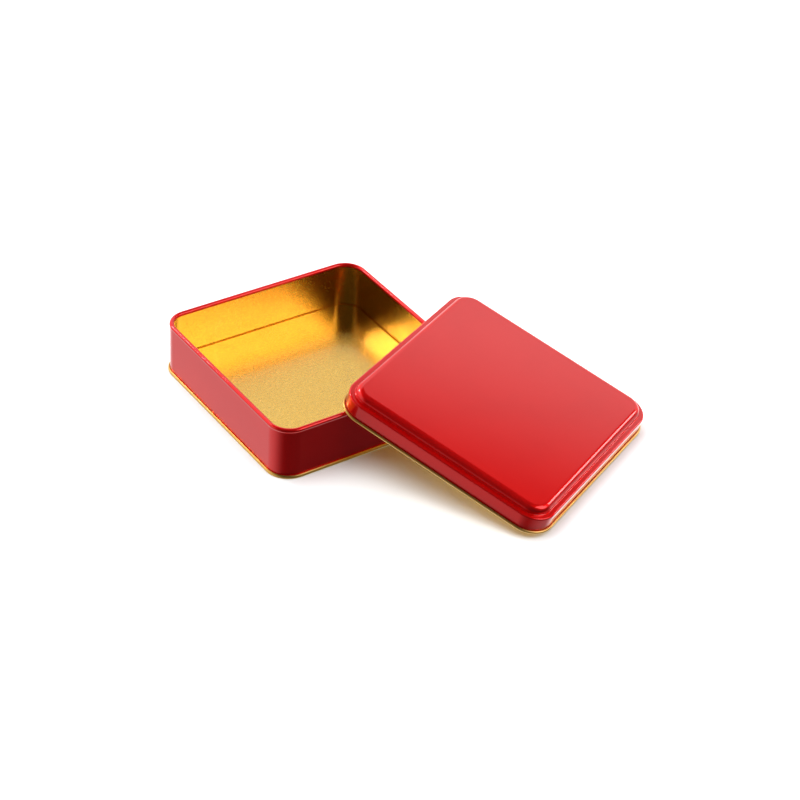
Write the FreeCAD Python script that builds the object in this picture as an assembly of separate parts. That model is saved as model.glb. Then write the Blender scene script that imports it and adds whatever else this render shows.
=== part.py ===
"""Square two-piece tinplate tin: an open tray with a seamed-on bottom, and a stepped lid.

The tray stands on the ground plane with its centre over the origin. The lid leans on it: its
low side rests on the ground and two of its edges lie over two rims of the tray, so one corner
of the lid hangs inside the tray. Every piece is one bent sheet: a section is drawn along one
face of the sheet and swept round the rounded square plan. Millimetres, +Z is up.
"""
import FreeCAD, Part
import math
import os

from FreeCAD import Matrix, Vector

# Tray
TRAY_WIDTH = 120.0           # outside of the wall, along X
TRAY_DEPTH = 120.0           # outside of the wall, along Y
TRAY_HEIGHT = 30.0           # ground to the top of the rolled rim
CORNER_RADIUS = 12.0         # outside of the wall, in plan
SHEET = 0.25                 # tinplate thickness
RIM_RADIUS = 1.25            # outside of the inward rolled rim
RIM_ROLL = 275.0             # degrees that the rim is rolled round
RIM_PROUD = 0.3              # how far the rolled rim stands out past the wall
RIM_STEP = 0.6               # height over which the wall steps out under the rim
FLOOR_HEIGHT = 2.8           # ground to the upper face of the bottom panel
FLOOR_SHOULDER = 0.9         # bend where the bottom panel turns down beside the wall
SEAM_HEIGHT = 1.85           # height of the folded seam round the foot
SEAM_GAP = 0.08              # space between the folded layers of the seam

# Lid
LID_CLEARANCE = 0.2          # between the rolled rim and the inside of the lid's skirt
LID_HEIGHT = 13.5            # bottom of the lid's curl to its top face
LEDGE_HEIGHT = 9.5           # bottom of the lid's curl to the ledge
LEDGE_WIDTH = 3.1            # skirt to the foot of the raised panel's shoulder
LEDGE_EDGE_RADIUS = 0.8      # bend between skirt and ledge
LEDGE_ROOT_RADIUS = 0.6      # bend between ledge and shoulder
SHOULDER_RADIUS = 3.3        # bend at the edge of the raised panel
CURL_RADIUS = 0.75           # outside of the lid's outward curl
CURL_TIP = 115.0             # degrees from level to the curl's cut edge, above its middle

# Where the open lid leans
LEAN_DIRECTION = 28.0        # degrees from +X to the level line through the two rim crossings
CORNER_CROSSING = 36.0       # degrees round the lid's corner to where it crosses the front rim
BACK_CROSSING = 32.7         # from the middle of the lid's back edge to its crossing
LEAN_GAP = 0.3               # space kept between the lid's curl and the rims it leans on


def on_circle(out, up, radius, degrees):
    """Point of the section plane on a circle."""
    angle = math.radians(degrees)
    return out + radius * math.cos(angle), up + radius * math.sin(angle)


class SheetPath:
    """One face of a bent sheet in section: corner points (out, up) with a bend radius each."""

    def __init__(self, out, up):
        self.corners = [(Vector(out, 0, up), 0.0)]

    def to(self, out, up, bend=0.0):
        """Go on to a corner with this bend radius, or to the end of the sheet."""
        self.corners.append((Vector(out, 0, up), bend))

    def roll(self, out, up, radius, start, stop):
        """Follow a circle between two angles, as a row of tangent bends."""
        steps = math.ceil(abs(stop - start) / 80.0)
        half = (stop - start) / steps / 2.0
        reach = radius / math.cos(math.radians(half))
        for step in range(steps):
            corner = on_circle(out, up, reach, start + (2 * step + 1) * half)
            self.to(*corner, bend=radius)

    def face(self, thickness):
        """The section's face, with the sheet lying to the left of the path."""
        near, far = [], []
        leave = self.corners[0][0]
        for index in range(1, len(self.corners)):
            corner, bend = self.corners[index]
            along = (corner - self.corners[index - 1][0]).normalize()
            left = Vector(-along.z, 0, along.x)
            if index == len(self.corners) - 1:
                add_strip(near, far, leave, corner, left * thickness)
                break
            onward = (self.corners[index + 1][0] - corner).normalize()
            turn = math.atan2(along.x * onward.z - along.z * onward.x, along.dot(onward))
            setback = bend * math.tan(abs(turn) / 2)
            enter = corner - along * setback
            add_strip(near, far, leave, enter, left * thickness)
            leave = corner + onward * setback
            side = math.copysign(1.0, turn)
            centre = enter + left * (bend * side)
            middle = (corner - centre).normalize()
            for edges, radius in ((near, bend), (far, bend - side * thickness)):
                ends = [centre + (point - centre).normalize() * radius for point in (enter, leave)]
                edges.append(Part.Arc(ends[0], centre + middle * radius, ends[1]).toShape())
        caps = []
        for index, end in ((0, 0), (-1, 1)):
            points = [edges[index].Vertexes[end].Point for edges in (near, far)]
            caps.append(Part.makeLine(*points))
        wire = Part.Wire(Part.__sortEdges__(near + far + caps))
        return Part.Face(wire)


def add_strip(near, far, start, end, offset):
    """Add the straight stretch of both faces of the sheet, unless two bends meet here."""
    if start.distanceToPoint(end) > 1e-6:
        near.append(Part.makeLine(start, end))
        far.append(Part.makeLine(start + offset, end + offset))


def sweep(section, half_width, half_depth, corner_radius):
    """Carry a section round the rounded rectangle and join the straights and corners."""
    pieces = []
    for quarter in range(4):
        out, along = (half_width, half_depth) if quarter % 2 == 0 else (half_depth, half_width)
        run = along - corner_radius
        placed = section.translated(Vector(out, -run, 0))
        straight = placed.extrude(Vector(0, 2 * run, 0))
        turned = section.translated(Vector(out, run, 0))
        corner = turned.revolve(Vector(out - corner_radius, run, 0), Vector(0, 0, 1), 90)
        for piece in (straight, corner):
            pieces.append(piece.rotated(Vector(0, 0, 0), Vector(0, 0, 1), 90 * quarter))
    return pieces


def plate(half_width, half_depth, corner_radius, bottom, thickness):
    """Flat rounded plate filling the middle of a panel."""
    across = Part.makeBox(2 * half_width, 2 * (half_depth - corner_radius), thickness,
                          Vector(-half_width, corner_radius - half_depth, bottom))
    down = Part.makeBox(2 * (half_width - corner_radius), 2 * half_depth, thickness,
                        Vector(corner_radius - half_width, -half_depth, bottom))
    pieces = [across, down]
    for side_x in (-1, 1):
        for side_y in (-1, 1):
            centre = Vector(side_x * (half_width - corner_radius),
                            side_y * (half_depth - corner_radius), bottom)
            pieces.append(Part.makeCylinder(corner_radius, thickness, centre))
    return pieces


def join(pieces):
    """One solid out of touching pieces, with the seams between coplanar faces removed."""
    whole = pieces[0].fuse(pieces[1:]).removeSplitter()
    if len(whole.Solids) != 1:
        raise ValueError(f"expected one solid, got {len(whole.Solids)}")
    return whole.Solids[0]


def body_wall():
    """Wall with its inward rolled rim at the top and its hook in the bottom seam."""
    tip_out = SHEET + 2 * SEAM_GAP
    fold = SHEET / 2
    path = SheetPath(tip_out, SEAM_HEIGHT - SHEET - 2 * SEAM_GAP)
    path.to(tip_out, 2 * SHEET, bend=fold)
    path.to(0, 2 * SHEET, bend=fold)
    rim_centre = RIM_PROUD - RIM_RADIUS, TRAY_HEIGHT - RIM_RADIUS
    step_top = rim_centre[1] - 0.2 * RIM_RADIUS
    path.to(0, step_top - RIM_STEP, bend=RIM_RADIUS / 2)
    path.to(RIM_PROUD, step_top, bend=RIM_RADIUS / 2)
    path.roll(*rim_centre, RIM_RADIUS, 0, RIM_ROLL)
    path.to(*on_circle(*rim_centre, RIM_RADIUS, RIM_ROLL))
    half_width, half_depth = TRAY_WIDTH / 2, TRAY_DEPTH / 2
    return join(sweep(path.face(SHEET), half_width, half_depth, CORNER_RADIUS))


def bottom_panel():
    """Recessed bottom whose edge folds round the wall's hook as the seam at the foot."""
    inset = 2 * SHEET + SEAM_GAP
    overlap = inset + FLOOR_SHOULDER + 2.0
    outside = 3 * (SHEET + SEAM_GAP)
    seam_span = outside - SEAM_GAP
    path = SheetPath(-overlap, FLOOR_HEIGHT - SHEET)
    path.to(-inset, FLOOR_HEIGHT - SHEET, bend=FLOOR_SHOULDER - SHEET)
    path.to(-inset, 0, bend=2 * SHEET)
    path.to(outside, 0, bend=2 * SHEET)
    path.to(outside, SEAM_HEIGHT, bend=0.6 * seam_span)
    path.to(SEAM_GAP, SEAM_HEIGHT, bend=0.37 * seam_span)
    path.to(SEAM_GAP, 2 * SHEET + SEAM_GAP)
    half_width, half_depth = TRAY_WIDTH / 2, TRAY_DEPTH / 2
    edge = sweep(path.face(SHEET), half_width, half_depth, CORNER_RADIUS)
    middle = plate(half_width - overlap, half_depth - overlap, CORNER_RADIUS - overlap,
                   FLOOR_HEIGHT - SHEET, SHEET)
    return join(edge + middle)


def lid_outset():
    """How far the outside of the lid's skirt lies past the outside of the tray's wall."""
    return RIM_PROUD + LID_CLEARANCE + SHEET


def closed_lid():
    """Lid as it stands on its curl, centred over the origin."""
    curl = CURL_RADIUS - SHEET, CURL_RADIUS
    path = SheetPath(*on_circle(*curl, CURL_RADIUS - SHEET, CURL_TIP))
    path.roll(*curl, CURL_RADIUS - SHEET, CURL_TIP, -180)
    path.to(0, LEDGE_HEIGHT, bend=LEDGE_EDGE_RADIUS)
    path.to(-LEDGE_WIDTH, LEDGE_HEIGHT, bend=LEDGE_ROOT_RADIUS)
    path.to(-LEDGE_WIDTH, LID_HEIGHT, bend=SHOULDER_RADIUS)
    overlap = LEDGE_WIDTH + SHOULDER_RADIUS + 1.0
    path.to(-overlap, LID_HEIGHT)
    half_width, half_depth = TRAY_WIDTH / 2 + lid_outset(), TRAY_DEPTH / 2 + lid_outset()
    corner = CORNER_RADIUS + lid_outset()
    edge = sweep(path.face(SHEET), half_width, half_depth, corner)
    middle = plate(half_width - overlap, half_depth - overlap, corner - overlap,
                   LID_HEIGHT - SHEET, SHEET)
    return join(edge + middle)


def leaning_pose():
    """Placement of the lid: its curl over both rims, and its lowest point on the ground."""
    reach_out = lid_outset() + CURL_RADIUS - SHEET
    half_width, half_depth = TRAY_WIDTH / 2 + reach_out, TRAY_DEPTH / 2 + reach_out
    corner = CORNER_RADIUS + reach_out
    around = math.radians(CORNER_CROSSING)
    on_front = Vector(corner - half_width - corner * math.cos(around),
                      half_depth - corner + corner * math.sin(around), CURL_RADIUS)
    on_side = Vector(BACK_CROSSING, half_depth, CURL_RADIUS)
    chord = (on_side - on_front).normalize()
    lowest = Vector(math.copysign(half_width - corner, chord.y), corner - half_depth, CURL_RADIUS)
    fall = on_front - lowest
    reach = chord.x * fall.y - chord.y * fall.x + corner

    tilt = 0.0
    for _ in range(8):
        apart = (RIM_RADIUS + CURL_RADIUS + LEAN_GAP) / math.cos(tilt)
        rise = TRAY_HEIGHT - RIM_RADIUS + apart - CURL_RADIUS
        tilt = math.asin(rise / reach)

    heading = math.radians(LEAN_DIRECTION)
    level = Vector(math.cos(heading), math.sin(heading), 0)
    climb = Vector(-level.y * math.cos(tilt), level.x * math.cos(tilt), math.sin(tilt))
    lid_x = level * chord.x - climb * chord.y
    lid_y = level * chord.y + climb * chord.x
    lid_z = lid_x.cross(lid_y)
    side_rim = TRAY_WIDTH / 2 + RIM_PROUD - RIM_RADIUS
    front_rim = RIM_RADIUS - RIM_PROUD - TRAY_DEPTH / 2
    start_x = side_rim - level.x * on_side.distanceToPoint(on_front)
    start = Vector(start_x, front_rim, rise + CURL_RADIUS)
    centre = start - lid_x * on_front.x - lid_y * on_front.y - lid_z * on_front.z
    return Matrix(lid_x.x, lid_y.x, lid_z.x, centre.x,
                  lid_x.y, lid_y.y, lid_z.y, centre.y,
                  lid_x.z, lid_y.z, lid_z.z, centre.z,
                  0, 0, 0, 1)


def open_lid():
    """Lid leaning on the tray."""
    shape = closed_lid()
    shape.Placement = FreeCAD.Placement(leaning_pose())
    return shape


def main():
    """Write one STEP file for each piece."""
    os.makedirs("parts", exist_ok=True)
    makers = {"body_wall": body_wall, "bottom_panel": bottom_panel, "lid": open_lid}
    for name, make in makers.items():
        make().exportStep(f"parts/{name}.step")


main()
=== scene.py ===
"""Square two-piece lacquered tin: an open tray, and a stepped lid leaning on it.

Each piece is one bent sheet. Its section is drawn along one face of the sheet, with a radius at
every bend, and carried round the rounded square plan, so both faces, the cut edges and the
rolled or curled hems come from the same few sizes. Metres, +Z is up.
"""
import logging
import math
from dataclasses import dataclass, field
from enum import Enum

import bpy
from mathutils import Matrix, Vector


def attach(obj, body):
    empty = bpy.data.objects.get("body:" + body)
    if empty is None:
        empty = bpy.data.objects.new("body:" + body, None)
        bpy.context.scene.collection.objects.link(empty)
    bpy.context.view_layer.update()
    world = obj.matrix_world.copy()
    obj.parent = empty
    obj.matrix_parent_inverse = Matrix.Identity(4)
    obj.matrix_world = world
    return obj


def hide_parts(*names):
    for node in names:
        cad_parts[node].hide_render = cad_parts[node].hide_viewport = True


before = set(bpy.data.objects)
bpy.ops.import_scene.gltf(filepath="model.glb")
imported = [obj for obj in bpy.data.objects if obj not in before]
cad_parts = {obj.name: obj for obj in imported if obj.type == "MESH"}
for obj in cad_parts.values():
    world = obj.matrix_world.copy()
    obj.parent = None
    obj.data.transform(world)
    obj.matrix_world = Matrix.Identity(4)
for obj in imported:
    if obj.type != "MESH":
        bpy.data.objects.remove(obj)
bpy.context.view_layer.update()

LOG = logging.getLogger("tin")
MM = 0.001
SAME_PLACE = 1e-8            # metres: points of a section closer than this are one point
MOST_ROLL_TURN = 80.0        # degrees: a longer roll is split into equal bends
LEAST_BEND_STEPS = 3
PANEL_RINGS = 14
GRAIN_RANGE = (0.3, 0.7)     # where nearly all of the grain's noise lies
SCENE = bpy.context.scene

Colour = tuple[float, float, float]
Span = tuple[float, float]


class Face(Enum):
    """Which part of the lacquered sheet a strip of mesh is, by its material slot."""

    OUTSIDE = 0
    INSIDE = 1
    CUT = 2
    HEM = 3


# ---------------------------------------------------------------------------------------------
# Sections and sweeps
# ---------------------------------------------------------------------------------------------


@dataclass(frozen=True)
class SheetPoint:
    """A point of one face of the sheet in section, with that face's outward direction."""

    out: float
    up: float
    normal_out: float
    normal_up: float


def on_circle(out: float, up: float, radius: float, degrees: float) -> tuple[float, float]:
    """Point of the section plane on a circle."""
    angle = math.radians(degrees)
    return out + radius * math.cos(angle), up + radius * math.sin(angle)


class SheetPath:
    """One face of a bent sheet in section: corner points (out, up) with a bend radius each."""

    def __init__(self, out: float, up: float) -> None:
        """Start at one cut edge of the sheet."""
        self.corners: list[tuple[Vector, float]] = [(Vector((out, up)), 0.0)]

    def to(self, out: float, up: float, bend: float = 0.0) -> None:
        """Go on to a corner with this bend radius, or to the end of the sheet."""
        self.corners.append((Vector((out, up)), bend))

    def roll(self, out: float, up: float, radius: float, start: float, stop: float) -> None:
        """Follow a circle between two angles, as a row of tangent bends.

        Args:
            out: Centre of the circle, away from the wall.
            up: Centre of the circle, above the bottom edge.
            radius: Radius of the circle.
            start: First angle in degrees.
            stop: Last angle in degrees.
        """
        steps = math.ceil(abs(stop - start) / MOST_ROLL_TURN)
        half = (stop - start) / steps / 2.0
        reach = radius / math.cos(math.radians(half))
        for step in range(steps):
            corner = on_circle(out, up, reach, start + (2 * step + 1) * half)
            self.to(*corner, bend=radius)

    def faces(self, thickness: float, fine: float = 7.0) -> tuple[list[SheetPoint], list[SheetPoint]]:
        """Points of both faces of the sheet, which lies to the left of the path.

        Args:
            thickness: Sheet thickness.
            fine: Largest turn between neighbouring points of a bend, in degrees.

        Returns:
            The face on the path, and the face a thickness to its left, in the same order.
        """
        near: list[SheetPoint] = []
        far: list[SheetPoint] = []

        def add(point: Vector, left: Vector) -> None:
            """Add one station of the sheet unless it repeats the last one.

            Args:
                point: Where the path passes.
                left: Direction across the sheet, to the left of the path.
            """
            if near and (Vector((near[-1].out, near[-1].up)) - point).length < SAME_PLACE:
                return
            other = point + left * thickness
            near.append(SheetPoint(point.x, point.y, -left.x, -left.y))
            far.append(SheetPoint(other.x, other.y, left.x, left.y))

        for index in range(1, len(self.corners)):
            corner, bend = self.corners[index]
            along = (corner - self.corners[index - 1][0]).normalized()
            left = Vector((-along.y, along.x))
            if index == 1:
                add(self.corners[0][0], left)
            if index == len(self.corners) - 1:
                add(corner, left)
                break
            onward = (self.corners[index + 1][0] - corner).normalized()
            turn = math.atan2(along.x * onward.y - along.y * onward.x, along.dot(onward))
            enter = corner - along * (bend * math.tan(abs(turn) / 2))
            side = math.copysign(1.0, turn)
            centre = enter + left * (bend * side)
            steps = max(LEAST_BEND_STEPS, math.ceil(math.degrees(abs(turn)) / fine))
            for step in range(steps + 1):
                angle = turn * step / steps
                swung = Matrix.Rotation(angle, 2) @ left
                add(centre - swung * (bend * side), swung)
        return near, far


@dataclass(frozen=True)
class Plan:
    """Rounded rectangle that a section is carried round."""

    half_width: float
    half_depth: float
    corner: float
    corner_steps: int = 22
    side_steps: int = 24

    def stations(self) -> list[tuple[float, float, float, float]]:
        """Points round the outline, anticlockwise from above.

        Each quarter is one straight side and the corner after it.

        Returns:
            For each point its x and y, and the x and y of its outward direction.
        """
        made: list[tuple[float, float, float, float]] = []
        for quarter in range(4):
            turned = quarter % 2 == 1
            out = self.half_depth if turned else self.half_width
            run = (self.half_width if turned else self.half_depth) - self.corner
            spots = [(out, -run + 2 * run * i / self.side_steps, 1.0, 0.0)
                     for i in range(self.side_steps)]
            for i in range(self.corner_steps):
                angle = math.pi / 2 * i / self.corner_steps
                across, along = math.cos(angle), math.sin(angle)
                spots.append((out - self.corner + self.corner * across,
                              run + self.corner * along, across, along))
            for x, y, across, along in spots:
                for _ in range(quarter):
                    x, y, across, along = -y, x, -along, across
                made.append((x, y, across, along))
        return made


class SheetMesh:
    """Vertices, faces and exact surface directions of one bent sheet."""

    def __init__(self, plan: Plan) -> None:
        """Start empty.

        Args:
            plan: Outline that the section is carried round.
        """
        self.stations = plan.stations()
        self.points: list[Vector] = []
        self.directions: list[Vector] = []
        self.faces: list[tuple[int, ...]] = []
        self.kinds: list[Face] = []

    def ring(self, place: SheetPoint, shrink: float = 1.0) -> list[int]:
        """Add one ring of vertices round the plan.

        Args:
            place: Where the ring runs in the section.
            shrink: Share of its distance from the middle that is kept.

        Returns:
            The new vertices' numbers.
        """
        first = len(self.points)
        for x, y, across, along in self.stations:
            self.points.append(Vector(((x + place.out * across) * shrink,
                                       (y + place.out * along) * shrink, place.up)))
            self.directions.append(Vector((place.normal_out * across,
                                           place.normal_out * along, place.normal_up)))
        return list(range(first, first + len(self.stations)))

    def band(self, one: list[int], two: list[int], kind: Face, flip: bool) -> None:
        """Join two rings with quads.

        Args:
            one: Vertices of the first ring.
            two: Vertices of the second ring.
            kind: Which part of the sheet the quads are.
            flip: Whether the quads run the other way round.
        """
        count = len(one)
        for i in range(count):
            j = (i + 1) % count
            quad = (one[i], one[j], two[j], two[i])
            self.faces.append(quad[::-1] if flip else quad)
            self.kinds.append(kind)

    def strip(self, side: list[SheetPoint], kind: Face, flip: bool,
              hem_from: float = math.inf) -> list[list[int]]:
        """Sweep one face of the sheet round the plan.

        Args:
            side: The face's points in section.
            kind: Which part of the sheet it is.
            flip: Whether the quads run the other way round.
            hem_from: How far out the folded or curled hem begins.

        Returns:
            The rings of vertices, in the order of the points.
        """
        rings = [self.ring(place) for place in side]
        for index in range(len(rings) - 1):
            hemmed = min(side[index].out, side[index + 1].out) > hem_from
            self.band(rings[index], rings[index + 1], Face.HEM if hemmed else kind, flip)
        return rings

    def edge(self, one: SheetPoint, two: SheetPoint, flip: bool) -> None:
        """Close the sheet at a cut edge with its own ring of flat quads.

        Args:
            one: The cut edge's point on the face that the path follows.
            two: The cut edge's point on the other face.
            flip: Whether the quads run the other way round.
        """
        across = Vector((two.out - one.out, two.up - one.up)).normalized()
        facing = Vector((across.y, -across.x)) * (-1.0 if flip else 1.0)
        rings = [self.ring(SheetPoint(p.out, p.up, facing.x, facing.y)) for p in (one, two)]
        self.band(rings[0], rings[1], Face.CUT, flip)

    def middle(self, outer: list[int], place: SheetPoint, kind: Face, flip: bool) -> None:
        """Fill the panel inside a ring with rings that shrink to its middle.

        Args:
            outer: Vertices of the ring round the panel.
            place: Where that ring runs in the section.
            kind: Which part of the sheet the panel is.
            flip: Whether the faces run the other way round.
        """
        last = outer
        for step in range(1, PANEL_RINGS):
            inner = self.ring(place, 1.0 - step / PANEL_RINGS)
            self.band(last, inner, kind, flip)
            last = inner
        self.points.append(Vector((0.0, 0.0, place.up)))
        self.directions.append(Vector((0.0, 0.0, place.normal_up)))
        centre = len(self.points) - 1
        for i, vertex in enumerate(last):
            triangle = (vertex, last[(i + 1) % len(last)], centre)
            self.faces.append(triangle[::-1] if flip else triangle)
            self.kinds.append(kind)

    def build(self, name: str, placed: Matrix) -> bpy.types.Object:
        """Make the object, with its normals set from the section's own directions.

        Args:
            name: Name of the new piece.
            placed: Where the piece lies in the row's frame.

        Returns:
            The new object, linked to the scene.
        """
        turn = placed.to_3x3()
        mesh = bpy.data.meshes.new(name)
        mesh.from_pydata([placed @ point for point in self.points], [], self.faces)
        mesh.polygons.foreach_set("material_index", [kind.value for kind in self.kinds])
        mesh.polygons.foreach_set("use_smooth", [True] * len(self.faces))
        mesh.update()
        facing = [turn @ self.directions[v] for face in self.faces for v in face]
        mesh.normals_split_custom_set(facing)
        piece = bpy.data.objects.new(name, mesh)
        SCENE.collection.objects.link(piece)
        return piece


# ---------------------------------------------------------------------------------------------
# Shader node groups
# ---------------------------------------------------------------------------------------------


class Nodes:
    """Short calls for building one node tree."""

    def __init__(self, tree: bpy.types.NodeTree) -> None:
        """Work on this tree."""
        self.tree = tree

    def feed(self, socket: bpy.types.NodeSocket, value: object) -> None:
        """Link an input to another node's output, or set its value.

        Args:
            socket: The input.
            value: An output to link it to, or its own value.
        """
        if isinstance(value, bpy.types.NodeSocket):
            self.tree.links.new(value, socket)
        else:
            socket.default_value = value

    def add(self, kind: str, settings: dict[str, object] | None = None,
            **inputs: object) -> bpy.types.Node:
        """Add a node and set or link its inputs.

        Args:
            kind: Node type.
            settings: Values of the node's own properties.
            inputs: Values or sockets by input name, spaces written as underscores, or by number
                after the letter i.

        Returns:
            The new node.
        """
        node = self.tree.nodes.new(kind)
        for key, value in (settings or {}).items():
            setattr(node, key, value)
        for key, value in inputs.items():
            numbered = key[0] == "i" and key[1:].isdigit()
            self.feed(node.inputs[int(key[1:]) if numbered else key.replace("_", " ")], value)
        return node

    def maths(self, operation: str, *values: object) -> bpy.types.NodeSocket:
        """Result of a Math node."""
        inputs = {f"i{n}": value for n, value in enumerate(values)}
        return self.add("ShaderNodeMath", {"operation": operation}, **inputs).outputs[0]

    def spread(self, value: object, low: float, high: float, to_low: float = 0.0,
               to_high: float = 1.0) -> bpy.types.NodeSocket:
        """Value carried from one range to another, smoothly and without overshoot."""
        node = self.add("ShaderNodeMapRange", {"interpolation_type": "SMOOTHSTEP"}, i0=value,
                        i1=low, i2=high, i3=to_low, i4=to_high)
        return node.outputs[0]

    def carry(self, value: object, source: tuple[object, object],
              goal: Span) -> bpy.types.NodeSocket:
        """Value carried from one range to another in proportion, held at both ends."""
        node = self.add("ShaderNodeMapRange", i0=value, i1=source[0], i2=source[1], i3=goal[0],
                        i4=goal[1])
        return node.outputs[0]

    def blend(self, share: object, one: object, two: object) -> bpy.types.NodeSocket:
        """Colour mixed from one to two."""
        node = self.add("ShaderNodeMix", {"data_type": "RGBA"}, i0=share, i6=one, i7=two)
        return node.outputs[2]

    def noise(self, where: object, scale: float, detail: float = 3.0,
              rough: float = 0.5) -> bpy.types.NodeSocket:
        """Grey noise at this scale per metre."""
        node = self.add("ShaderNodeTexNoise", Vector=where, Scale=scale, Detail=detail,
                        Roughness=rough)
        return node.outputs[0]


class Effect:
    """A shared surface effect, built once as a node group."""

    name = "effect"
    inputs: tuple[tuple[str, str, object], ...] = ()
    outputs: tuple[tuple[str, str], ...] = ()

    def __init__(self) -> None:
        """Make the group's sockets and fill it."""
        self.group = bpy.data.node_groups.new(self.name, "ShaderNodeTree")
        face = self.group.interface
        for label, kind, value in self.inputs:
            socket = face.new_socket(name=label, in_out="INPUT", socket_type=kind)
            socket.default_value = value
        for label, kind in self.outputs:
            face.new_socket(name=label, in_out="OUTPUT", socket_type=kind)
        tools = Nodes(self.group)
        start = tools.add("NodeGroupInput")
        end = tools.add("NodeGroupOutput")
        made = self.fill(tools, start)
        for label, socket in made.items():
            self.group.links.new(socket, end.inputs[label])

    def fill(self, tools: Nodes, start: bpy.types.Node) -> dict[str, bpy.types.NodeSocket]:
        """Build the effect between the group's sockets."""
        raise NotImplementedError

    def place(self, tools: Nodes, **inputs: object) -> bpy.types.Node:
        """Put the group in a material with its own values."""
        return tools.add("ShaderNodeGroup", {"node_tree": self.group}, **inputs)


class SheetGrain(Effect):
    """Fine rolling grain and sparkle of tinplate, as seen through lacquer."""

    name = "sheet_grain"
    inputs = (("Grain Scale", "NodeSocketFloat", 900.0), ("Stretch", "NodeSocketFloat", 6.0))
    outputs = (("Grain", "NodeSocketFloat"), ("Sparkle", "NodeSocketFloat"))

    def fill(self, tools: Nodes, start: bpy.types.Node) -> dict[str, bpy.types.NodeSocket]:
        """Build the effect between the group's sockets.

        Args:
            tools: Calls that build the group's tree.
            start: The group's input node.

        Returns:
            What feeds each of the group's outputs, by name.
        """
        where = tools.add("ShaderNodeTexCoord").outputs["Object"]
        squeeze = tools.add("ShaderNodeCombineXYZ", X=1.0, Y=start.outputs["Stretch"], Z=1.0)
        along = tools.add("ShaderNodeVectorMath", {"operation": "MULTIPLY"}, i0=where,
                          i1=squeeze.outputs[0]).outputs[0]
        streaks = tools.add("ShaderNodeTexNoise", Vector=along, Scale=start.outputs["Grain Scale"],
                            Detail=4.0, Roughness=0.6).outputs[0]
        dots = tools.add("ShaderNodeTexVoronoi", {"feature": "F1"}, Vector=where,
                         Scale=start.outputs["Grain Scale"]).outputs["Color"]
        value = tools.add("ShaderNodeSeparateColor", Color=dots).outputs[0]
        return {"Grain": streaks, "Sparkle": tools.spread(value, 0.55, 1.0)}


class HandlingMarks(Effect):
    """Hairline scratches, tiny dents and smudges that a tin picks up.

    A stroke is a heading in radians and how fast its noise varies along each axis, per metre.
    """

    name = "handling_marks"
    inputs = (("Scratch Width", "NodeSocketFloat", 0.02), ("Speck Share", "NodeSocketFloat", 0.03))
    outputs = (("Scratches", "NodeSocketFloat"), ("Specks", "NodeSocketFloat"),
               ("Smudge", "NodeSocketFloat"))
    strokes = ((0.5, (40.0, 900.0, 40.0)), (1.9, (30.0, 1100.0, 30.0)),
               (2.7, (55.0, 1300.0, 55.0)))

    def fill(self, tools: Nodes, start: bpy.types.Node) -> dict[str, bpy.types.NodeSocket]:
        """Build the effect between the group's sockets.

        Args:
            tools: Calls that build the group's tree.
            start: The group's input node.

        Returns:
            What feeds each of the group's outputs, by name.
        """
        where = tools.add("ShaderNodeTexCoord").outputs["Object"]
        lines = []
        for turn, scale in self.strokes:
            turned = tools.add("ShaderNodeMapping", Vector=where, Rotation=(0.0, 0.0, turn),
                               Scale=scale).outputs[0]
            waves = tools.noise(turned, 1.0, 1.0)
            off = tools.maths("ABSOLUTE", tools.maths("SUBTRACT", waves, 0.5))
            line = tools.carry(off, (0.0, start.outputs["Scratch Width"]), (1.0, 0.0))
            patch = tools.spread(tools.noise(where, 35.0 + 20.0 * turn, 1.0), 0.6, 0.72)
            lines.append(tools.maths("MULTIPLY", line, patch))
        scratches = tools.maths("MAXIMUM", tools.maths("MAXIMUM", lines[0], lines[1]), lines[2])
        dots = tools.add("ShaderNodeTexVoronoi", {"feature": "F1"}, Vector=where, Scale=160.0)
        chance = tools.add("ShaderNodeSeparateColor", Color=dots.outputs["Color"]).outputs[1]
        kept = tools.maths("LESS_THAN", chance, start.outputs["Speck Share"])
        near = tools.spread(dots.outputs["Distance"], 0.03, 0.09, 1.0, 0.0)
        smudge = tools.spread(tools.noise(where, 28.0, 3.0), 0.35, 0.7)
        return {"Scratches": scratches, "Specks": tools.maths("MULTIPLY", kept, near),
                "Smudge": smudge}


# ---------------------------------------------------------------------------------------------
# Finishes
# ---------------------------------------------------------------------------------------------


@dataclass(frozen=True)
class Finish:
    """What every lacquer or bare metal has: a name and a way to make its material."""

    name: str

    def open(self) -> tuple[bpy.types.Material, Nodes, bpy.types.Node]:
        """New material with only its Principled shader and output.

        Returns:
            The material, the calls that build its tree, and its shader node.
        """
        material = bpy.data.materials.new(self.name)
        material.use_nodes = True
        material.node_tree.nodes.clear()
        tools = Nodes(material.node_tree)
        shader = tools.add("ShaderNodeBsdfPrincipled")
        tools.add("ShaderNodeOutputMaterial", Surface=shader.outputs[0])
        return material, tools, shader

    def link(self, tools: Nodes, shader: bpy.types.Node, **sockets: object) -> None:
        """Set or link inputs of the shader, spaces written as underscores."""
        for label, value in sockets.items():
            tools.feed(shader.inputs[label.replace("_", " ")], value)

    def make(self, grain: SheetGrain, marks: HandlingMarks) -> bpy.types.Material:
        """Build the material with the shared effects."""
        raise NotImplementedError


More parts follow.
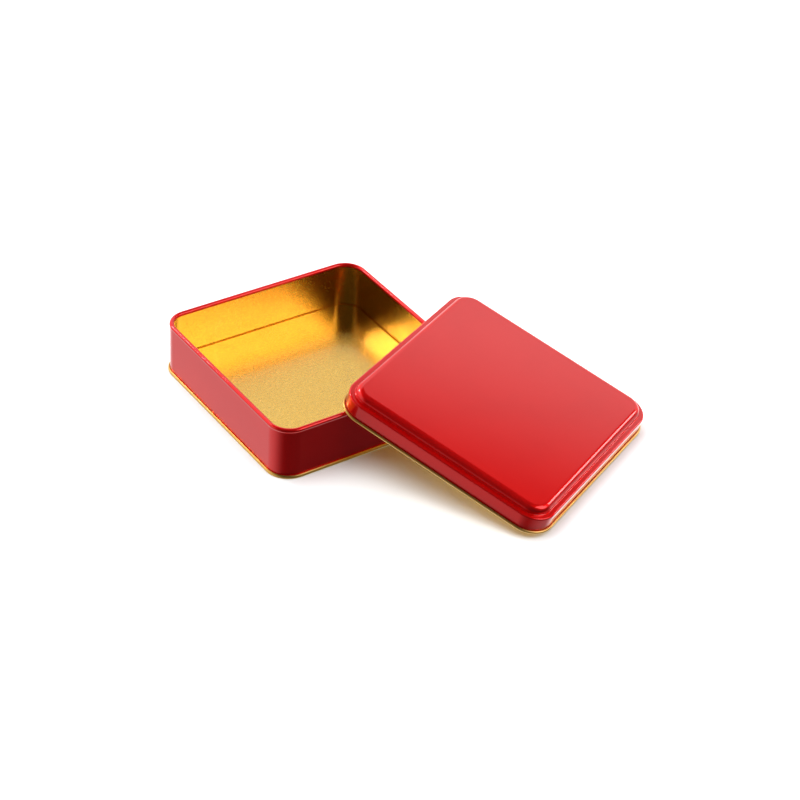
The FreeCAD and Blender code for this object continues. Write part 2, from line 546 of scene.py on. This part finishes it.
@dataclass(frozen=True)
class RedLacquer(Finish):
    """Glossy red lacquer over tinplate."""

    deep: Colour = (0.86, 0.0018, 0.0020)
    bright: Colour = (0.93, 0.0040, 0.0034)
    chip: Colour = (0.20, 0.001, 0.002)
    metallic: float = 0.85
    rough: Span = (0.39, 0.46)
    coat: float = 1.0
    cloud_scale: float = 18.0
    ripple_scale: float = 45.0

    def make(self, grain: SheetGrain, marks: HandlingMarks) -> bpy.types.Material:
        """Build the material.

        Args:
            grain: The sheet's grain.
            marks: What handling leaves on the surface.

        Returns:
            The new material.
        """
        material, tools, shader = self.open()
        fine = grain.place(tools, Grain_Scale=1400.0, Stretch=1.6)
        worn = marks.place(tools, Scratch_Width=0.008, Speck_Share=0.012)
        where = tools.add("ShaderNodeTexCoord").outputs["Object"]
        cloud = tools.noise(where, self.cloud_scale, 4.0)
        colour = tools.blend(tools.spread(cloud, 0.3, 0.7), (*self.deep, 1.0),
                             (*self.bright, 1.0))
        chipped = tools.blend(worn.outputs["Specks"], colour, (*self.chip, 1.0))
        rough = tools.carry(fine.outputs["Grain"], GRAIN_RANGE, self.rough)
        tall = tools.maths("MULTIPLY", tools.noise(where, self.ripple_scale, 2.0), 0.5)
        dents = tools.maths("MULTIPLY", worn.outputs["Specks"], -0.5)
        hair = tools.maths("MULTIPLY", worn.outputs["Scratches"], -0.06)
        height = tools.maths("ADD", tools.maths("ADD", tall, dents), hair)
        bump = tools.add("ShaderNodeBump", Strength=0.07, Distance=0.00012, Height=height)
        peel = tools.add("ShaderNodeBump", Strength=0.05, Distance=0.00002,
                         Height=fine.outputs["Grain"], Normal=bump.outputs[0])
        self.link(tools, shader, Base_Color=chipped, Roughness=rough, Normal=peel.outputs[0],
                  Metallic=self.metallic, Coat_Weight=self.coat, Coat_Roughness=0.035,
                  Coat_IOR=1.5, Specular_IOR_Level=0.0)
        return material


@dataclass(frozen=True)
class GoldLacquer(Finish):
    """Clear gold lacquer over tinplate, with the sheet's grain showing through."""

    pale: Colour = (0.93, 0.60, 0.125)
    deep: Colour = (0.83, 0.47, 0.070)
    scratched: Colour = (0.95, 0.80, 0.50)
    rough: Span = (0.15, 0.26)
    coat: float = 0.7
    mottle_scale: float = 750.0
    cloud_scale: float = 60.0
    pebble_scale: float = 1100.0

    def make(self, grain: SheetGrain, marks: HandlingMarks) -> bpy.types.Material:
        """Build the material.

        Args:
            grain: The sheet's grain.
            marks: What handling leaves on the surface.

        Returns:
            The new material.
        """
        material, tools, shader = self.open()
        fine = grain.place(tools, Grain_Scale=1500.0, Stretch=4.0)
        worn = marks.place(tools, Scratch_Width=0.006)
        where = tools.add("ShaderNodeTexCoord").outputs["Object"]
        dots = tools.spread(tools.noise(where, self.mottle_scale, 3.0, 0.7), 0.38, 0.66)
        mottle = tools.maths("MULTIPLY", dots, 0.7)
        cloud = tools.maths("MULTIPLY", tools.noise(where, self.cloud_scale, 5.0), 0.4)
        share = tools.maths("ADD", mottle, cloud)
        colour = tools.blend(share, (*self.deep, 1.0), (*self.pale, 1.0))
        colour = tools.blend(tools.maths("MULTIPLY", worn.outputs["Scratches"], 0.35), colour,
                             (*self.scratched, 1.0))
        grainy = tools.carry(fine.outputs["Grain"], GRAIN_RANGE, self.rough)
        rough = tools.maths("ADD", grainy, tools.maths("MULTIPLY", worn.outputs["Smudge"], 0.05))
        height = tools.maths("ADD", fine.outputs["Grain"],
                             tools.maths("MULTIPLY", worn.outputs["Scratches"], -0.7))
        pebble = tools.maths("MULTIPLY", tools.noise(where, self.pebble_scale, 2.0, 0.6), 1.6)
        height = tools.maths("ADD", height, pebble)
        bump = tools.add("ShaderNodeBump", Strength=0.5, Distance=0.00006, Height=height)
        self.link(tools, shader, Base_Color=colour, Roughness=rough, Normal=bump.outputs[0],
                  Metallic=1.0, Coat_Weight=self.coat, Coat_Roughness=0.12, Coat_IOR=1.5)
        return material


@dataclass(frozen=True)
class GoldHem(Finish):
    """Gold lacquer where the sheet is rolled tight: satin, with little grain left."""

    pale: Colour = (0.93, 0.53, 0.12)
    worn: Colour = (0.90, 0.58, 0.20)
    rough: Span = (0.34, 0.42)

    def make(self, grain: SheetGrain, marks: HandlingMarks) -> bpy.types.Material:
        """Build the material.

        Args:
            grain: The sheet's grain.
            marks: What handling leaves on the surface.

        Returns:
            The new material.
        """
        material, tools, shader = self.open()
        fine = grain.place(tools, Grain_Scale=2600.0, Stretch=1.0)
        rubbed = marks.place(tools)
        wear = tools.maths("MULTIPLY", rubbed.outputs["Smudge"], 0.6)
        colour = tools.blend(wear, (*self.pale, 1.0), (*self.worn, 1.0))
        rough = tools.carry(fine.outputs["Grain"], GRAIN_RANGE, self.rough)
        bump = tools.add("ShaderNodeBump", Strength=0.04, Distance=0.00001,
                         Height=fine.outputs["Grain"])
        self.link(tools, shader, Base_Color=colour, Roughness=rough, Normal=bump.outputs[0],
                  Metallic=1.0, Coat_Weight=0.15, Coat_Roughness=0.10, Coat_IOR=1.5)
        return material


@dataclass(frozen=True)
class BareEdge(Finish):
    """Cut edge of the tinplate: dull steel with a trace of tin."""

    steel: Colour = (0.30, 0.26, 0.22)
    tin: Colour = (0.62, 0.58, 0.52)
    rough: Span = (0.35, 0.55)

    def make(self, grain: SheetGrain, marks: HandlingMarks) -> bpy.types.Material:
        """Build the material.

        Args:
            grain: The sheet's grain.
            marks: What handling leaves on the surface; not used.

        Returns:
            The new material.
        """
        material, tools, shader = self.open()
        fine = grain.place(tools, Grain_Scale=2500.0, Stretch=1.0)
        colour = tools.blend(fine.outputs["Grain"], (*self.steel, 1.0), (*self.tin, 1.0))
        rough = tools.carry(fine.outputs["Sparkle"], (0.0, 1.0), self.rough)
        self.link(tools, shader, Base_Color=colour, Roughness=rough, Metallic=1.0)
        return material


@dataclass
class Finishes:
    """The four finishes of the tin, made once and shared by its pieces."""

    red: bpy.types.Material = field(init=False)
    gold: bpy.types.Material = field(init=False)
    hem: bpy.types.Material = field(init=False)
    edge: bpy.types.Material = field(init=False)

    def __post_init__(self) -> None:
        """Build the shared effects and the four materials."""
        grain, marks = SheetGrain(), HandlingMarks()
        self.red = RedLacquer("red_lacquer_gloss").make(grain, marks)
        self.gold = GoldLacquer("gold_lacquer_satin").make(grain, marks)
        self.hem = GoldHem("gold_lacquer_hem").make(grain, marks)
        self.edge = BareEdge("cut_tinplate").make(grain, marks)

    def dress(self, piece: bpy.types.Object, outside: bpy.types.Material,
              inside: bpy.types.Material) -> None:
        """Give a piece its materials in the order of Face."""
        for material in (outside, inside, self.edge, self.hem):
            piece.data.materials.append(material)


# ---------------------------------------------------------------------------------------------
# Pieces
# ---------------------------------------------------------------------------------------------


@dataclass
class Tray:
    """Open tray: a wall with a rolled rim, and a recessed bottom seamed round its foot.

    Metres, apart from the rim's roll, in degrees round its circle, the drop of its step, as a
    share of the rim's radius, and the bends of the bead, as shares of the seam's width.
    """

    width: float = 120.0 * MM
    depth: float = 120.0 * MM
    height: float = 30.0 * MM
    corner: float = 12.0 * MM
    sheet: float = 0.25 * MM
    rim_radius: float = 1.25 * MM
    rim_roll: float = 275.0
    rim_proud: float = 0.3 * MM
    rim_step: float = 0.6 * MM
    rim_step_drop: float = 0.2
    floor_height: float = 2.8 * MM
    floor_shoulder: float = 0.9 * MM
    seam_height: float = 1.85 * MM
    seam_gap: float = 0.08 * MM
    bead_outer_bend: float = 0.6
    bead_inner_bend: float = 0.37
    flat_margin: float = 2.0 * MM

    def plan(self) -> Plan:
        """Outside of the wall from above."""
        return Plan(self.width / 2, self.depth / 2, self.corner)

    def wall(self) -> SheetMesh:
        """Mesh of the wall, hook in the seam and rolled rim included.

        Returns:
            The mesh, drawn from the hook's cut edge up to the rim's.
        """
        tip_out = self.sheet + 2 * self.seam_gap
        fold = self.sheet / 2
        path = SheetPath(tip_out, self.seam_height - self.sheet - 2 * self.seam_gap)
        path.to(tip_out, 2 * self.sheet, bend=fold)
        path.to(0.0, 2 * self.sheet, bend=fold)
        rim = self.rim_proud - self.rim_radius, self.height - self.rim_radius
        step_top = rim[1] - self.rim_step_drop * self.rim_radius
        path.to(0.0, step_top - self.rim_step, bend=self.rim_radius / 2)
        path.to(self.rim_proud, step_top, bend=self.rim_radius / 2)
        path.roll(*rim, self.rim_radius, 0.0, self.rim_roll)
        path.to(*on_circle(*rim, self.rim_radius, self.rim_roll))
        near, far = path.faces(self.sheet)
        mesh = SheetMesh(self.plan())
        mesh.strip(near, Face.OUTSIDE, False)
        mesh.strip(far, Face.INSIDE, True)
        mesh.edge(near[0], far[0], True)
        mesh.edge(near[-1], far[-1], False)
        return mesh

    def bottom(self) -> SheetMesh:
        """Mesh of the recessed bottom and the seam folded round the wall's hook.

        Returns:
            The mesh, drawn from the flat panel out to the seam's cut edge.
        """
        inset = 2 * self.sheet + self.seam_gap
        inner = inset + self.floor_shoulder + self.flat_margin
        outside = 3 * (self.sheet + self.seam_gap)
        span = outside - self.seam_gap
        path = SheetPath(-inner, self.floor_height - self.sheet)
        path.to(-inset, self.floor_height - self.sheet, bend=self.floor_shoulder - self.sheet)
        path.to(-inset, 0.0, bend=2 * self.sheet)
        path.to(outside, 0.0, bend=2 * self.sheet)
        path.to(outside, self.seam_height, bend=self.bead_outer_bend * span)
        path.to(self.seam_gap, self.seam_height, bend=self.bead_inner_bend * span)
        path.to(self.seam_gap, 2 * self.sheet + self.seam_gap)
        near, far = path.faces(self.sheet)
        mesh = SheetMesh(self.plan())
        below = mesh.strip(near, Face.OUTSIDE, False, -inset)
        above = mesh.strip(far, Face.INSIDE, True, 0.0)
        mesh.edge(near[-1], far[-1], False)
        mesh.middle(below[0], near[0], Face.OUTSIDE, True)
        mesh.middle(above[0], far[0], Face.INSIDE, False)
        return mesh

    def build(self, finishes: Finishes) -> list[bpy.types.Object]:
        """Build both pieces and dress them.

        Args:
            finishes: The tin's finishes.

        Returns:
            The tray's pieces.
        """
        wall = self.wall().build("tray_wall", Matrix.Identity(4))
        finishes.dress(wall, finishes.red, finishes.gold)
        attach(wall, "tray")
        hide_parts("body_wall")
        bottom = self.bottom().build("tray_bottom", Matrix.Identity(4))
        finishes.dress(bottom, finishes.gold, finishes.gold)
        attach(bottom, "tray")
        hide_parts("bottom_panel")
        return [wall, bottom]


@dataclass
class Lid:
    """Stepped lid with a narrow ledge and an outward curl, leaning on the tray's rim.

    Metres, apart from the curl's tip, the direction of the lean, and the crossing round the lid's
    corner, which are in degrees. The back crossing is measured from the middle of the back edge.
    """

    tray: Tray
    clearance: float = 0.2 * MM
    height: float = 13.5 * MM
    ledge_height: float = 9.5 * MM
    ledge_width: float = 3.1 * MM
    ledge_edge: float = 0.8 * MM
    ledge_root: float = 0.6 * MM
    shoulder: float = 3.3 * MM
    curl: float = 0.75 * MM
    curl_tip: float = 115.0
    lean_direction: float = 28.0
    corner_crossing: float = 36.0
    back_crossing: float = 32.7 * MM
    lean_gap: float = 0.3 * MM
    flat_margin: float = 1.0 * MM
    fine_bend: float = 5.0
    settling_rounds: int = 8

    def outset(self) -> float:
        """How far the outside of the skirt lies past the outside of the tray's wall."""
        return self.tray.rim_proud + self.clearance + self.tray.sheet

    def plan(self) -> Plan:
        """Outside of the skirt from above."""
        return Plan(self.tray.width / 2 + self.outset(), self.tray.depth / 2 + self.outset(),
                    self.tray.corner + self.outset())

    def sheet(self) -> SheetMesh:
        """Mesh of the whole lid, standing level on its curl.

        Returns:
            The mesh, drawn from the curl's cut edge up to the flat top.
        """
        sheet = self.tray.sheet
        curl = self.curl - sheet, self.curl
        path = SheetPath(*on_circle(*curl, self.curl - sheet, self.curl_tip))
        path.roll(*curl, self.curl - sheet, self.curl_tip, -180.0)
        path.to(0.0, self.ledge_height, bend=self.ledge_edge)
        path.to(-self.ledge_width, self.ledge_height, bend=self.ledge_root)
        path.to(-self.ledge_width, self.height, bend=self.shoulder)
        path.to(-(self.ledge_width + self.shoulder + self.flat_margin), self.height)
        near, far = path.faces(sheet, self.fine_bend)
        mesh = SheetMesh(self.plan())
        outer = mesh.strip(near, Face.OUTSIDE, False)
        inner = mesh.strip(far, Face.INSIDE, True, 0.0)
        mesh.edge(near[0], far[0], True)
        mesh.middle(outer[-1], near[-1], Face.OUTSIDE, False)
        mesh.middle(inner[-1], far[-1], Face.INSIDE, True)
        return mesh

    def pose(self) -> Matrix:
        """Where the open lid leans: its curl over both rims, its lowest point on the ground.

        The curl crosses the front rim near one corner of the lid and the side rim on its back
        edge. The line between those two places stays level, and the lid tilts about it.

        Returns:
            The lid's place in the row's frame.
        """
        tray = self.tray
        reach_out = self.outset() + self.curl - tray.sheet
        half_width, half_depth = tray.width / 2 + reach_out, tray.depth / 2 + reach_out
        corner = tray.corner + reach_out
        around = math.radians(self.corner_crossing)
        on_front = Vector((corner - half_width - corner * math.cos(around),
                           half_depth - corner + corner * math.sin(around), self.curl))
        on_side = Vector((self.back_crossing, half_depth, self.curl))
        chord = (on_side - on_front).normalized()
        lowest = Vector((math.copysign(half_width - corner, chord.y), corner - half_depth,
                         self.curl))
        fall = on_front - lowest
        reach = chord.x * fall.y - chord.y * fall.x + corner
        tilt, rise = 0.0, 0.0
        for _ in range(self.settling_rounds):
            apart = (tray.rim_radius + self.curl + self.lean_gap) / math.cos(tilt)
            rise = tray.height - tray.rim_radius + apart - self.curl
            tilt = math.asin(rise / reach)
        heading = math.radians(self.lean_direction)
        level = Vector((math.cos(heading), math.sin(heading), 0.0))
        climb = Vector((-level.y * math.cos(tilt), level.x * math.cos(tilt), math.sin(tilt)))
        lid_x = level * chord.x - climb * chord.y
        lid_y = level * chord.y + climb * chord.x
        lid_z = lid_x.cross(lid_y)
        side_rim = tray.width / 2 + tray.rim_proud - tray.rim_radius
        front_rim = tray.rim_radius - tray.rim_proud - tray.depth / 2
        start = Vector((side_rim - level.x * (on_side - on_front).length, front_rim,
                        rise + self.curl))
        centre = start - lid_x * on_front.x - lid_y * on_front.y - lid_z * on_front.z
        turned = Matrix((lid_x, lid_y, lid_z)).transposed().to_4x4()
        return Matrix.Translation(centre) @ turned

    def build(self, finishes: Finishes) -> list[bpy.types.Object]:
        """Build the lid and dress it.

        Args:
            finishes: The tin's finishes.

        Returns:
            The lid's pieces.
        """
        lid = self.sheet().build("lid_shell", self.pose())
        finishes.dress(lid, finishes.red, finishes.gold)
        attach(lid, "lid")
        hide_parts("lid")
        return [lid]


# ---------------------------------------------------------------------------------------------
# Studio
# ---------------------------------------------------------------------------------------------


@dataclass
class Softbox:
    """A rectangular studio light aimed at a point."""

    name: str
    place: tuple[float, float, float]
    aim: tuple[float, float, float]
    size: tuple[float, float]
    power: float
    mirrored: bool = True

    def build(self) -> None:
        """Hang the light."""
        data = bpy.data.lights.new(self.name, "AREA")
        data.shape = "RECTANGLE"
        data.size, data.size_y = self.size
        data.energy = self.power
        lamp = bpy.data.objects.new(self.name, data)
        lamp.location = self.place
        lamp.rotation_euler = (Vector(self.aim) - lamp.location).to_track_quat("-Z", "Y").to_euler()
        lamp.visible_glossy = self.mirrored
        SCENE.collection.objects.link(lamp)


@dataclass
class Studio:
    """Pale floor, soft lights, surroundings and camera.

    The surroundings are brightnesses by direction: each Span is where one begins and ends, as a
    part of the unit vector that looks that way.
    """

    azimuth: float = -36.41
    elevation: float = 35.60
    roll: float = 3.99
    distance: float = 1175.2 * MM
    target: tuple[float, float, float] = (32.38 * MM, -30.57 * MM, 0.0)
    focal_length: float = 100.33
    sensor: float = 36.0
    floor_reach: float = 3.0
    floor_colour: Colour = (0.93, 0.93, 0.93)
    dark: Colour = (0.05, 0.05, 0.05)
    bright: Colour = (1.55, 1.55, 1.55)
    sweep_facing: tuple[float, float, float] = (0.0, 0.42, -0.906)
    sweep_edge: Span = (-0.490, -0.415)
    sweep_fade: Span = (-0.40, -0.28)
    sweep_dim: float = 0.55
    sweep_behind: Span = (-0.08, 0.25)
    table_depth: Span = (-0.55, 0.30)
    table_width: Span = (-0.5, 0.5)
    table_left: float = 0.46
    under_lift: Span = (-0.95, -0.72)
    under_level: float = 0.62
    horizon: Span = (-0.06, 0.06)

    def floor(self) -> None:
        """Plain pale floor under the tin, left out of the tin's reflections."""
        half = self.floor_reach
        mesh = bpy.data.meshes.new("floor")
        mesh.from_pydata([(-half, -half, 0.0), (half, -half, 0.0), (half, half, 0.0),
                          (-half, half, 0.0)], [], [(0, 1, 2, 3)])
        floor = bpy.data.objects.new("floor", mesh)
        SCENE.collection.objects.link(floor)
        material = bpy.data.materials.new("pale_floor")
        material.use_nodes = True
        shader = material.node_tree.nodes["Principled BSDF"]
        shader.inputs["Base Color"].default_value = (*self.floor_colour, 1.0)
        shader.inputs["Roughness"].default_value = 0.7
        shader.inputs["Specular IOR Level"].default_value = 0.1
        mesh.materials.append(material)
        floor.visible_glossy = False
        floor.visible_diffuse = False

    def surroundings(self) -> None:
        """Bright sweep behind, bright table below, dark room in front and overhead."""
        world = bpy.data.worlds.new("studio")
        SCENE.world = world
        world.use_nodes = True
        tree = world.node_tree
        tree.nodes.clear()
        tools = Nodes(tree)
        where = tools.add("ShaderNodeTexCoord").outputs["Generated"]
        split = tools.add("ShaderNodeSeparateXYZ", Vector=where)
        sideways, forward, upward = split.outputs[0:3]
        edge = tools.add("ShaderNodeVectorMath", {"operation": "DOT_PRODUCT"}, i0=where,
                         i1=self.sweep_facing).outputs["Value"]
        strip = tools.spread(edge, *self.sweep_edge)
        fade = tools.spread(edge, *self.sweep_fade, 1.0, self.sweep_dim)
        behind = tools.spread(forward, *self.sweep_behind)
        sweep = tools.maths("MULTIPLY", tools.maths("MULTIPLY", strip, fade), behind)
        table = tools.maths("MULTIPLY", tools.spread(forward, *self.table_depth),
                            tools.spread(sideways, *self.table_width, self.table_left, 1.0))
        under = tools.spread(upward, *self.under_lift, self.under_level, 0.0)
        table = tools.maths("MAXIMUM", table, under)
        below = tools.spread(upward, *self.horizon, 1.0, 0.0)
        level = tools.add("ShaderNodeMix", {"data_type": "FLOAT"}, i0=below, i2=sweep,
                          i3=table).outputs[0]
        light = tools.blend(level, (*self.dark, 1.0), (*self.bright, 1.0))
        shine = tools.add("ShaderNodeBackground", Color=light, Strength=1.0)
        tools.add("ShaderNodeOutputWorld", Surface=shine.outputs[0])

    def lights(self) -> None:
        """Window behind at the left, two softboxes at the right, and an overhead fill."""
        middle = (0.02, -0.02, 0.0)
        boxes = (Softbox("back_window", (-0.51, 1.22, 0.90), middle, (0.24, 0.34), 5.2),
                 Softbox("right_strip", (1.44, -0.34, 0.62), middle, (0.36, 0.36), 3.2),
                 Softbox("front_box", (0.72, -0.98, 0.87), middle, (1.0, 1.0), 7.5),
                 Softbox("overhead", (-0.15, 0.25, 1.6), middle, (2.2, 2.2), 46.0, False))
        for box in boxes:
            box.build()

    def camera(self) -> None:
        """Camera above the front left of the tray, turned a little about its own axis."""
        side, lift = math.radians(self.azimuth), math.radians(self.elevation)
        back = Vector((math.sin(side) * math.cos(lift), -math.cos(side) * math.cos(lift),
                       math.sin(lift)))
        right = Vector((math.cos(side), math.sin(side), 0.0))
        up = back.cross(right)
        roll = math.radians(self.roll)
        right_rolled = right * math.cos(roll) + up * math.sin(roll)
        up_rolled = back.cross(right_rolled)
        data = bpy.data.cameras.new("camera")
        data.lens = self.focal_length
        data.sensor_width = self.sensor
        camera = bpy.data.objects.new("camera", data)
        turned = Matrix((right_rolled, up_rolled, back)).transposed().to_4x4()
        camera.matrix_world = Matrix.Translation(Vector(self.target) + back * self.distance) @ turned
        SCENE.collection.objects.link(camera)
        SCENE.camera = camera

    def build(self) -> None:
        """Set the whole studio up."""
        self.floor()
        self.surroundings()
        self.lights()
        self.camera()
        SCENE.view_settings.view_transform = "Standard"
        SCENE.view_settings.look = "None"


def main() -> None:
    """Build the tin in its studio."""
    logging.basicConfig(level=logging.INFO, format="%(message)s")
    finishes = Finishes()
    tray = Tray()
    pieces = tray.build(finishes) + Lid(tray).build(finishes)
    for piece in pieces:
        LOG.info("%s: %d faces", piece.name, len(piece.data.polygons))
    Studio().build()
    bpy.context.view_layer.update()


if __name__ == "__main__":
    main()
